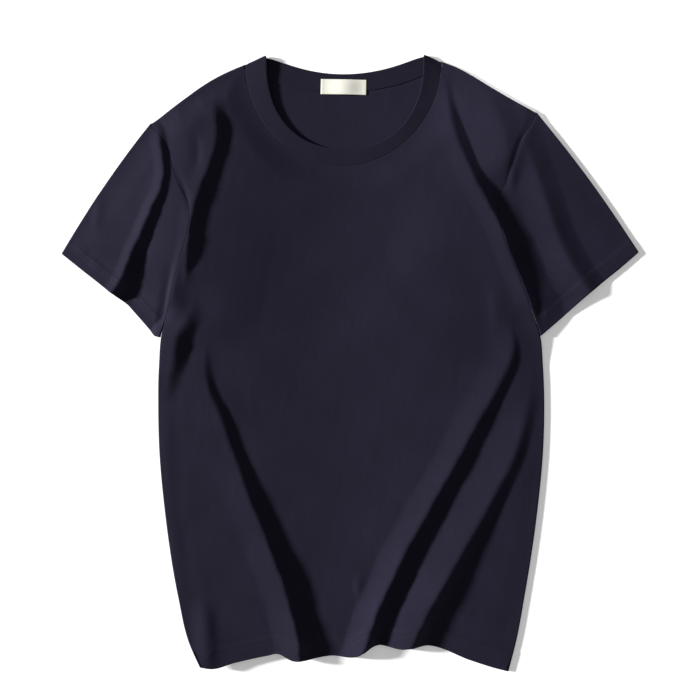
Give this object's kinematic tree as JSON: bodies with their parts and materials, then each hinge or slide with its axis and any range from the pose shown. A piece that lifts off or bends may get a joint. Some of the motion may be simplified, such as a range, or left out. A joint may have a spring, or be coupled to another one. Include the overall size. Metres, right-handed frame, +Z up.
{
  "type": "crew neck t-shirt",
  "caption": "Short-sleeved navy cotton jersey t-shirt with a ribbed crew neck and a bare satin neck label, laid flat on its back with soft diagonal folds.",
  "frame": {"origin": "bottom centre of the box round the flat shirt, on the surface it lies on", "axes": "+Z up, out of the front of the shirt; +Y from the hem towards the neck; +X to the right of someone looking down at the front"},
  "size_m": [0.6214, 0.6656, 0.0136],
  "materials": {
    "jersey": "navy cotton single jersey, matt",
    "rib": "navy cotton 1x1 rib, matt",
    "label": "cream woven satin, slight sheen"
  },
  "bodies": {
    "root": {"front_panel": "jersey", "back_panel": "jersey", "sleeve_left": "jersey", "sleeve_right": "jersey", "neck_rib": "rib", "neck_label": "label"}
  },
  "joints": []
}
